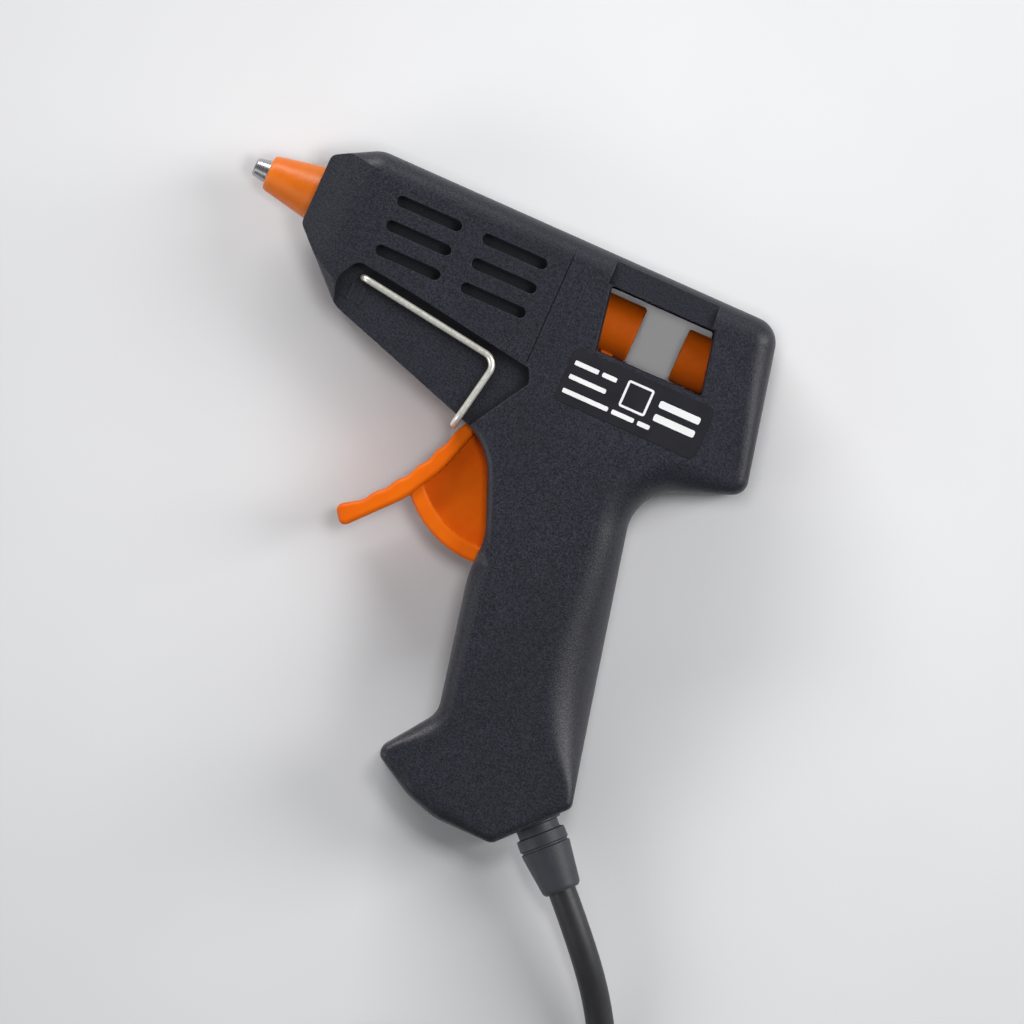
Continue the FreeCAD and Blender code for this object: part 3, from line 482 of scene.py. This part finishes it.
def film(name, dark, light, rough):
    """Printed plastic film."""
    s = Shader(name, IOR=1.5, Specular_IOR_Level=0.25)
    cloud = s.levels(s.noise(4.0, 2.0), 0.3, 0.7)
    s.colour(s.mix(cloud, dark, light))
    fine = s.noise(0.18, 2.0)
    s.roughness(s.levels(fine, 0.3, 0.7, rough - 0.04, rough + 0.06))
    s.normal(s.bump(fine, 0.004))
    return s.material


def woven(name, dark, light):
    """Hook-and-loop strap: a fine weave under a nap of small loops."""
    s = Shader(name, IOR=1.45, Sheen_Weight=0.35, Sheen_Roughness=0.5)
    turned = s.stretched(1.0, 1.0, 1.0, TIE_ANGLE)
    loops = s.cells(0.42, turned)
    nap = s.noise(0.25, 3.0, 0.7)
    base = s.mix(s.levels(loops, 0.1, 0.7), light, dark)
    base = s.mix(s.levels(nap, 0.5, 0.8, 0.0, 0.4), base, tuple(c * 2.0 for c in light))
    s.colour(base)
    s.roughness(s.levels(nap, 0.3, 0.7, 0.75, 0.95))
    s.normal(s.bump(nap, 0.05, s.bump(loops, 0.10)))
    return s.material


def dress(node, material):
    """Gives a CAD node its material."""
    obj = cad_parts[node]
    if not obj.material_slots:
        obj.data.materials.append(material)
    for place in obj.material_slots:
        place.material = material


# ---------------------------------------------------------------- mesh building


def new_object(name, mesh, material, slot, body, *nodes):
    """Links a finished mesh or curve, rides it on its body, and hides the nodes it replaces."""
    obj = bpy.data.objects.new(name, mesh)
    bpy.context.scene.collection.objects.link(obj)
    mesh.materials.append(material)
    if body:
        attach(obj, body)
    if nodes:
        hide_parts(*nodes)
    return obj


def lofted(name, sections, closed=False):
    """A smooth mesh through rings of points, capped at both ends unless the loft is closed."""
    mesh = bmesh.new()
    rings = [[mesh.verts.new(Vector(p) * MM) for p in ring] for ring in sections]
    pairs = list(zip(rings, rings[1:]))
    if closed:
        pairs.append((rings[-1], rings[0]))
    for a, b in pairs:
        for i in range(len(a)):
            j = (i + 1) % len(a)
            mesh.faces.new((a[i], a[j], b[j], b[i]))
    if not closed:
        mesh.faces.new(rings[0][::-1])
        mesh.faces.new(rings[-1])
    bmesh.ops.recalc_face_normals(mesh, faces=mesh.faces)
    data = bpy.data.meshes.new(name)
    mesh.to_mesh(data)
    mesh.free()
    data.shade_smooth()
    return data


def joined(name, parts):
    """Several meshes as one."""
    mesh = bmesh.new()
    for part in parts:
        mesh.from_mesh(part)
        bpy.data.meshes.remove(part)
    data = bpy.data.meshes.new(name)
    mesh.to_mesh(data)
    mesh.free()
    return data


def swept(name, path, section):
    """A tube along a path; section is its ring, as (side, up) offsets."""
    rings = []
    up = None
    for i, point in enumerate(path):
        ahead = (path[min(i + 1, len(path) - 1)] - path[max(i - 1, 0)]).normalized()
        if up is None:
            up = ahead.orthogonal().normalized()
        up = (up - ahead * up.dot(ahead)).normalized()
        side = ahead.cross(up)
        rings.append([point + side * a + up * b for a, b in section])
    return lofted(name, rings)


def circle(radius, sides):
    angles = [2 * math.pi * i / sides for i in range(sides)]
    return [(radius * math.cos(a), radius * math.sin(a)) for a in angles]


def sharpen(obj, degrees=35.0):
    """Smooth shading that stops at edges sharper than this."""
    obj.data.set_sharp_from_angle(angle=math.radians(degrees))


# ---------------------------------------------------------------- cord, coil, tie and plug


def coil_points():
    """Four turns on the floor wound inwards, then a shorter layer on top wound outwards."""
    points = []
    for i in range(COIL_POINTS):
        wound = COIL_STEP * i
        angle = COIL_START - wound
        radius, height = COIL_RADIUS, COIL_HEIGHT
        for start, taken, wider, higher in COIL_CHANGES:
            share = smooth((wound - start) / taken)
            radius += wider * share
            height += higher * share
        from_tie = abs((angle - TIE_ANGLE + 180.0) % 360.0 - 180.0)
        height += TIE_LIFT * smooth((TIE_LIFT_REACH - from_tie) / TIE_LIFT_FADE)
        a = math.radians(angle)
        points.append(COIL_CENTRE + Vector((radius * math.cos(a), radius * math.sin(a), height)))
    return points


def cord(material):
    """The whole cord as one smooth spline."""
    points = [Vector(p) for p in CORD_ROUTE] + coil_points() + [Vector(p) for p in TAIL_ROUTE]
    curve = bpy.data.curves.new("mains_cord", "CURVE")
    curve.dimensions = "3D"
    curve.bevel_depth = CORD_DIAMETER / 2
    curve.bevel_resolution = 7
    curve.use_fill_caps = True
    spline = curve.splines.new("NURBS")
    spline.points.add(len(points) - 1)
    for control, point in zip(spline.points, points):
        control.co = (*(point * MM), 1.0)
    spline.order_u = 3
    spline.use_endpoint_u = True
    spline.resolution_u = 8
    return new_object(
        "mains_cord", curve, material, "cord_rubber", "housing", "cord", "cord_coil", "cord_tail"
    )


def tie(material):
    """A hook-and-loop strap around the coil, its free end lapped over the top."""
    reach = CORD_DIAMETER / MM / 2 + TIE_THICK / 2 + TIE_GAP
    low = COIL_HEIGHT + TIE_LIFT
    high = low + PITCH + 0.1
    inner = COIL_RADIUS - 3 * PITCH
    # Corners of the cord's turns under the strap: radius, height, first and last direction
    corners = [
        (COIL_RADIUS - 2 * PITCH, high, 90.0, 135.0),
        (inner, low, 135.0, 270.0),
        (COIL_RADIUS, low, 270.0, 405.0),
        (COIL_RADIUS - PITCH, high, 45.0, 90.0),
    ]
    loop = []
    for radius, height, start, end in corners:
        for i in range(TIE_CORNER_STEPS + 1):
            a = math.radians(start + (end - start) * i / TIE_CORNER_STEPS)
            loop.append(Vector((radius + reach * math.cos(a), 0, height + reach * math.sin(a))))
    path = []
    rise_before, rise_steps = TIE_RISE
    total = len(loop) + TIE_LAP
    for i in range(total):
        point = loop[i % len(loop)]
        before = loop[(i - 1) % len(loop)]
        after = loop[(i + 1) % len(loop)]
        ahead = (after - before).normalized()
        outward = Vector((ahead.z, 0, -ahead.x))
        lap = smooth((i - len(loop) + rise_before) / rise_steps) * (TIE_THICK + TIE_GAP)
        path.append((point + outward * lap, outward))
    turn = Matrix.Rotation(math.radians(TIE_ANGLE), 4, "Z")
    rings = []
    for i, (point, outward) in enumerate(path):
        half = TIE_WIDTH / 2
        past = i - (total - 1 - TIE_TIP)
        if past > 0:
            half -= TIE_TIP_INSET * (past / TIE_TIP) ** 2
        ring = []
        for side, rise in (
            (-1, -0.6),
            (-1, 0.6),
            (-0.96, 1),
            (0.96, 1),
            (1, 0.6),
            (1, -0.6),
            (0.96, -1),
            (-0.96, -1),
        ):
            offset = outward * rise * TIE_THICK / 2 + Vector((0, side * half, 0))
            ring.append(turn @ (point + offset) + COIL_CENTRE)
        rings.append(ring)
    obj = new_object(
        "coil_strap", lofted("coil_strap", rings), material, "tie_strap", "housing", "cord_tie"
    )
    sharpen(obj, 40.0)
    return obj


def plug_section(along, half_width, half_height):
    """A rounded rectangle across the plug, at a distance from the cord's end of the grip."""
    corner, sides = PLUG_CORNER_R, 14
    ring = []
    for quarter, (side, rise) in enumerate(((1, 1), (-1, 1), (-1, -1), (1, -1))):
        for i in range(sides + 1):
            a = math.pi / 2 * (quarter + i / sides)
            y = side * (half_width - corner) + corner * math.cos(a)
            z = rise * (half_height - corner) + corner * math.sin(a)
            ring.append(PLUG_BACK + Vector((-along, y, z)))
    return ring


def plug_body(material):
    """Two-pin plug: flat body that widens to its face, ribbed grip and thumb ridges."""
    narrow, wide = PLUG_HALF_WIDTH
    thinner, thickens_over = PLUG_THICKENS
    body = []
    for i in range(PLUG_STEPS + 1):
        along = PLUG_LENGTH * i / PLUG_STEPS
        swell = smooth(along / (PLUG_LENGTH * PLUG_WIDENS))
        half_width = narrow + (wide - narrow) * swell
        half_height = PLUG_HALF_HEIGHT - thinner * (1.0 - smooth(along / thickens_over))
        valley = 0.5 + 0.5 * math.cos(2 * math.pi * (along - RIDGE_VALLEY) / RIDGE_PITCH)
        among = smooth(along - RIDGES[0]) * smooth(RIDGES[1] - along)
        half_height -= RIB_DEPTH * among * valley
        from_end = min(along, PLUG_LENGTH - along)
        rounding = PLUG_ROUNDING[along >= PLUG_LENGTH / 2]
        if from_end < rounding:
            inset = rounding - math.sqrt(rounding**2 - (rounding - from_end) ** 2)
            half_width -= inset
            half_height -= inset
        body.append(plug_section(GRIP_LENGTH + along, half_width, half_height))
    grip = []
    for i in range(GRIP_STEPS + 1):
        along = (GRIP_LENGTH + GRIP_OVERLAP) * i / GRIP_STEPS
        radius = GRIP_START_R + GRIP_FLARE * along / GRIP_LENGTH
        if GRIP_RIBS[0] < along < GRIP_RIBS[1]:
            wave = math.sin(2 * math.pi * (along - GRIP_RIBS[0]) / GRIP_RIB_PITCH)
            radius -= RIB_DEPTH * smooth(0.5 + GRIP_RIB_FLANK * wave)
        if along < GRIP_CHAMFER:
            radius -= GRIP_CHAMFER - along
        ring = [PLUG_BACK + Vector((-along, y, z)) for y, z in circle(radius, 40)]
        grip.append(ring)
    mesh = joined("plug_shell", [lofted("body", body), lofted("grip", grip)])
    obj = new_object("plug_shell", mesh, material, "plug_rubber", "housing", "plug_body")
    sharpen(obj, 50.0)
    return obj


def pin_sleeves(material):
    """Insulating sleeves on the inner half of the plug's pins."""
    parts = []
    for side in (-1, 1):
        rings = []
        for along, radius in SLEEVE:
            base = GRIP_LENGTH + PLUG_LENGTH + along
            lean = -PIN_LEAN * max(along, 0.0)
            centre = Vector((-base, side * (PIN_SPACING / 2 + lean), 0))
            ring = [PLUG_BACK + centre + Vector((0, y, z)) for y, z in circle(radius, 28)]
            rings.append(ring)
        parts.append(lofted("sleeve", rings))
    obj = new_object(
        "pin_sleeves", joined("pin_sleeves", parts), material, "plug_rubber", "housing"
    )
    sharpen(obj, 40.0)
    return obj


# ---------------------------------------------------------------- small parts


def spring(material):
    """Extension spring between the carriage and the anchor pin, with a hook round the pin."""
    low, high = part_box("return_spring")
    radius = (high.y - low.y) / MM / 2 - SPRING_WIRE_R
    middle = (low + high) / 2 / MM
    start, end = low.x / MM + SPRING_INSET[0], high.x / MM - SPRING_INSET[1]
    path = []
    steps = SPRING_TURNS * SPRING_TURN_STEPS
    for i in range(steps + 1):
        a = 2 * math.pi * SPRING_TURNS * i / steps
        x = start + (end - start) * i / steps
        path.append(Vector((x, middle.y + radius * math.cos(a), middle.z + radius * math.sin(a))))
    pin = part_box("spring_post")
    hook_centre = Vector(((pin[0].x + pin[1].x) / 2 / MM, middle.y, middle.z))
    hook_radius = (pin[1].x - pin[0].x) / MM / 2 + SPRING_WIRE_R + HOOK_GAP
    for i in range(HOOK_STEPS + 1):
        a = math.radians(HOOK_ARC / 2 - HOOK_ARC * i / HOOK_STEPS)
        path.append(hook_centre + Vector((math.cos(a), math.sin(a), 0)) * hook_radius)
    mesh = swept("spring_coil", path, circle(SPRING_WIRE_R, SPRING_WIRE_SIDES))
    obj = new_object("spring_coil", mesh, material, "spring_steel", None, "return_spring")
    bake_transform(obj)


def rounded_plate(x0, y0, x1, y1, corner, low, high, hole=0.0):
    """A thin plate with rounded corners, or with hole set, a frame whose sides are that wide."""

    def outline(inset):
        r = max(corner - inset, 0.05)
        points = []
        corners = ((x1, y1), (x0, y1), (x0, y0), (x1, y0))
        for quarter, (x, y) in enumerate(corners):
            cx = x - math.copysign(inset + r, x - (x0 + x1) / 2)
            cy = y - math.copysign(inset + r, y - (y0 + y1) / 2)
            for i in range(PLATE_CORNER_STEPS + 1):
                a = math.pi / 2 * (quarter + i / PLATE_CORNER_STEPS)
                points.append((cx + r * math.cos(a), cy + r * math.sin(a)))
        return points

    def at(points, z):
        return [(x, y, z) for x, y in points]

    if not hole:
        return lofted("plate", [at(outline(0), low), at(outline(0), high)])
    inner, outer = outline(hole), outline(0)
    return lofted(
        "frame", [at(outer, low), at(outer, high), at(inner, high), at(inner, low)], closed=True
    )


def label_print(material):
    """Plain bars and a plain frame where a real label carries its print."""
    low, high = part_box("label")
    bottom, top = high.z / MM, high.z / MM + PRINT_THICK
    x0, x1, y1 = low.x / MM, high.x / MM, high.y / MM
    parts = []
    for down, x, lengths in PRINT_ROWS:
        y = y1 - down - BAR_HEIGHT / 2
        for length in lengths:
            left = x0 + x
            parts.append(
                rounded_plate(left, y, left + length, y + BAR_HEIGHT, 0.25, bottom, top)
            )
            x += length + BAR_GAP
    across, down, side, line = SQUARE
    left, y = x0 + across, y1 - down
    parts.append(rounded_plate(left, y, left + side, y + side, 0.5, bottom, top, line))
    across, downs, length, height = WIDE_BARS
    left = x1 - across
    for down in downs:
        y = y1 - down
        parts.append(rounded_plate(left, y, left + length, y + height, 0.4, bottom, top))
    obj = new_object(
        "label_print", joined("label_print", parts), material, "label_film", "housing"
    )
    sharpen(obj)


# ---------------------------------------------------------------- the scene

camera()
studio()

body = spark_plastic("body_plastic", (0.004, 0.004, 0.007), (0.030, 0.031, 0.045), 0.42)
trigger_orange = orange_plastic("trigger_orange", (0.70, 0.105, 0.001), (0.80, 0.150, 0.002))
# A darker copy of the trigger's orange: painted shade on the carriage and rear guide, which sit
# down in the window
orange_with_painted_shade = orange_plastic("orange_with_painted_shade", (0.52, 0.085, 0.003), (0.62, 0.115, 0.005))
steel = plated_metal("steel", (0.42, 0.41, 0.40), (0.60, 0.59, 0.57), 0.32)
zinc = plated_metal("zinc", (0.52, 0.51, 0.47), (0.74, 0.72, 0.66), 0.28)
# Pale plated colour; its diffuse share (metallic 0.7) paints in the wire's bright highlight
bright_wire = plated_metal(
    "bright_wire", (0.86, 0.84, 0.74), (0.98, 0.96, 0.88), 0.34, 0.6, metallic=0.7, depth=0.0006
)
cord_sheath = rubber("cord_sheath", (0.020, 0.020, 0.023), (0.030, 0.030, 0.034), 0.45, 0.35)
boot_rubber = rubber("boot_rubber", (0.036, 0.038, 0.046), (0.054, 0.057, 0.069), 0.50)
plug_rubber = rubber("plug_rubber", (0.016, 0.016, 0.018), (0.026, 0.026, 0.029), 0.52, 0.45, 0.03)

for node, material in {
    "left_shell": body,
    "right_shell": body,
    "trigger": trigger_orange,
    "feed_carriage": orange_with_painted_shade,
    "rear_guide": orange_with_painted_shade,
    "nozzle_cover": silicone(),
    "inlet_sleeve": orange_plastic("sleeve_orange", (0.45, 0.10, 0.02), (0.55, 0.14, 0.03), 0.5),
    "nozzle_tip": turned_metal("tip_metal", (0.36, 0.36, 0.37), (0.50, 0.50, 0.51)),
    "melt_chamber": turned_metal("chamber_metal", (0.55, 0.55, 0.55), (0.75, 0.75, 0.75), 0.38),
    "ptc_heater": rubber("ceramic", (0.10, 0.10, 0.10), (0.16, 0.16, 0.155), 0.6),
    "heater_film": film("amber_film", (0.40, 0.16, 0.02), (0.52, 0.23, 0.04), 0.2),
    "heater_clip": steel,
    "sleeve_clamp": steel,
    "spring_post": steel,
    "trigger_pin": steel,
    "shell_screws": zinc,
    "clamp_screws": zinc,
    "stand_wire": bright_wire,
    "label": film("label_black", (0.012, 0.012, 0.016), (0.016, 0.016, 0.021), 0.5),
    "lead_live": rubber("brown_lead", (0.085, 0.035, 0.015), (0.12, 0.05, 0.02), 0.4),
    "lead_neutral": rubber("blue_lead", (0.015, 0.06, 0.25), (0.02, 0.09, 0.34), 0.4),
    "cord_clamp": rubber("clamp_nylon", (0.55, 0.53, 0.48), (0.66, 0.64, 0.58), 0.45),
    "strain_relief": boot_rubber,
    "cord_inner": cord_sheath,
    "plug_pins": plated_metal("nickel", (0.58, 0.56, 0.52), (0.80, 0.77, 0.71), 0.2),
}.items():
    dress(node, material)

spring(steel)
label_print(film("print_white", (0.72, 0.72, 0.72), (0.80, 0.80, 0.80), 0.5))

mains_cord = cord(cord_sheath)
strap = tie(woven("strap_weave", (0.012, 0.012, 0.013), (0.035, 0.035, 0.038)))
plug = plug_body(plug_rubber)
sleeves = pin_sleeves(rubber("sleeve_black", (0.014, 0.014, 0.016), (0.022, 0.022, 0.025), 0.4))
